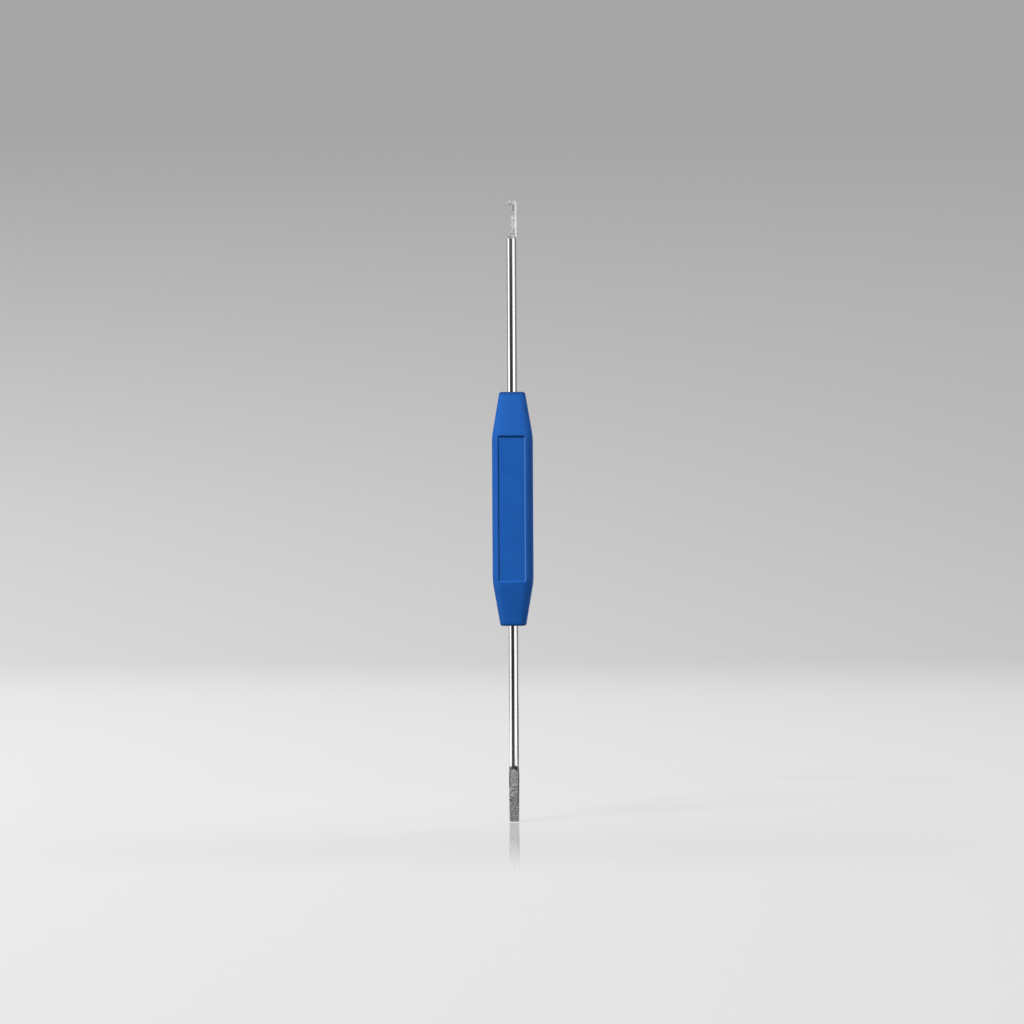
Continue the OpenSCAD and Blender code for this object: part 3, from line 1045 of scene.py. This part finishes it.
def dark_flag():
    """A felt card behind the camera, a little to its left, which bright steel mirrors and no camera sees."""
    felt, painter, shader = new_material("dark_felt")
    painter.set(shader, "Base Color", FELT_GREY)
    painter.set(shader, "Roughness", 0.9)
    x, z = np.meshgrid(FLAG_AWAY * np.tan([FLAG_LEFT, FLAG_RIGHT]), [-FLAG_HALF_H, FLAG_HALF_H])
    flag = sheet_mesh("dark_flag", np.stack([x, np.full(x.shape, -FLAG_AWAY), z], axis=-1), felt)
    flag.visible_camera = False


def mirror_card(name, sides, reach, glow):
    """A card flat on the table, a piece of a ring round the tool, which shows only in mirrors.

    It spans two angles in degrees to the camera's right and two distances, and a glow of 1 shows white.
    """
    card_face, painter, shader = new_material(name)
    painter.set(shader, "Base Color", FELT_GREY)
    painter.set(shader, "Emission Color", (1, 1, 1, 1))
    painter.set(shader, "Emission Strength", glow)
    side, away = np.meshgrid(np.radians(np.linspace(*sides, 12)) + CAMERA_TURN, reach[::-1])
    above = np.full(side.shape, FLOOR_Z + MM)
    card = sheet_mesh(name, np.stack([away * np.sin(side), -away * np.cos(side), above], axis=-1), card_face)
    card.visible_camera = False
    card.visible_diffuse = False
    card.visible_shadow = False


def softbox(name, side, up, away, size, brightness, mirrored=True):
    """A flat light that faces the tool, so many degrees to the camera's right and above it.

    It has a width and a height, and brightness 1 shows white in a mirror, unless mirrors don't show it.
    """
    side, up = np.radians(side) + CAMERA_TURN, np.radians(up)
    place = away * Vector((np.sin(side) * np.cos(up), -np.cos(side) * np.cos(up), np.sin(up)))
    lamp = bpy.data.lights.new(name, "AREA")
    lamp.shape = "RECTANGLE"
    lamp.size, lamp.size_y = size
    lamp.energy = np.pi * size[0] * size[1] * brightness
    light = bpy.data.objects.new(name, lamp)
    light.location = place
    light.rotation_mode = "QUATERNION"
    light.rotation_quaternion = place.to_track_quat("Z", "Y")
    light.visible_camera = False
    light.visible_glossy = mirrored
    bpy.context.scene.collection.objects.link(light)


def studio_lights():
    """Lights high at the front left and behind, a low softbox at each side, and a fill at the right."""
    softbox("main_softbox", side=-40, up=50, away=1.8, size=(0.55, 0.55), brightness=52)
    softbox("left_softbox", side=-81, up=0, away=0.72, size=(0.56, 0.34), brightness=1.8)
    softbox("right_softbox", side=50, up=0, away=0.8, size=(0.78, 0.42), brightness=1.6)
    softbox("right_fill", side=80, up=5, away=1.0, size=(0.7, 0.7), brightness=1.6, mirrored=False)
    softbox("back_softbox", side=160, up=60, away=2.2, size=(0.9, 0.9), brightness=12)


def grey_room():
    """The room all round, a dim grey that lights a little, and a paler one to the camera and mirrors."""
    world = bpy.data.worlds.new("grey_room")
    world.use_nodes = True
    painter = Painter(world.node_tree)
    path = painter.add("ShaderNodeLightPath").outputs
    grey = painter.blend(to_camera_or_mirror(painter, path), ROOM_LIGHT, ROOM_SEEN)
    painter.set(world.node_tree.nodes["Background"], "Color", grey)
    bpy.context.scene.world = world


def studio_camera():
    """A long lens as high as the grip, a little to the right of its front, and leaning a little."""
    lens = bpy.data.cameras.new("studio_camera")
    lens.lens = CAMERA_LENS
    camera = bpy.data.objects.new("studio_camera", lens)
    side = Vector((np.cos(CAMERA_TURN), np.sin(CAMERA_TURN), 0))
    back = Vector((np.sin(CAMERA_TURN), -np.cos(CAMERA_TURN), 0))
    camera.location = side * CAMERA_X + back * CAMERA_AWAY + Vector((0, 0, CAMERA_Z))
    camera.rotation_euler = (np.pi / 2, CAMERA_ROLL, CAMERA_TURN)
    bpy.context.scene.collection.objects.link(camera)
    bpy.context.scene.camera = camera


def dress(piece, slot, *nodes):
    """A finished piece rides on the one body and stands for its nodes. Its slot is not used."""
    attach(piece, "root")
    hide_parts(*nodes)


studio_camera()
studio_table()
dark_flag()
mirror_card("light_card", sides=(-102, -60), reach=(0.19, 0.36), glow=1.8)
mirror_card("dark_card", sides=(85, 165), reach=(0.19, 0.6), glow=0)
studio_lights()
grey_room()
steel_groups = {"drawn": drawn_lines_group(), "ground": ground_grain_group()}
hook_steel = drawn_and_ground_steel("hook_steel", steel_groups, HOOK_DARK, HOOK_LIGHT, ground_rough=0.8)
blade_steel = drawn_and_ground_steel("blade_steel", steel_groups, BLADE_DARK, BLADE_LIGHT, ground_rough=0.55)
dress(grip_piece(blue_plastic()), "grip_plastic", "grip")
dress(hook_piece(hook_steel), "hook_steel", "hook_shaft", "hook")
dress(blade_piece(blade_steel), "blade_steel", "blade_shaft")
bpy.context.scene.view_settings.view_transform = "Standard"
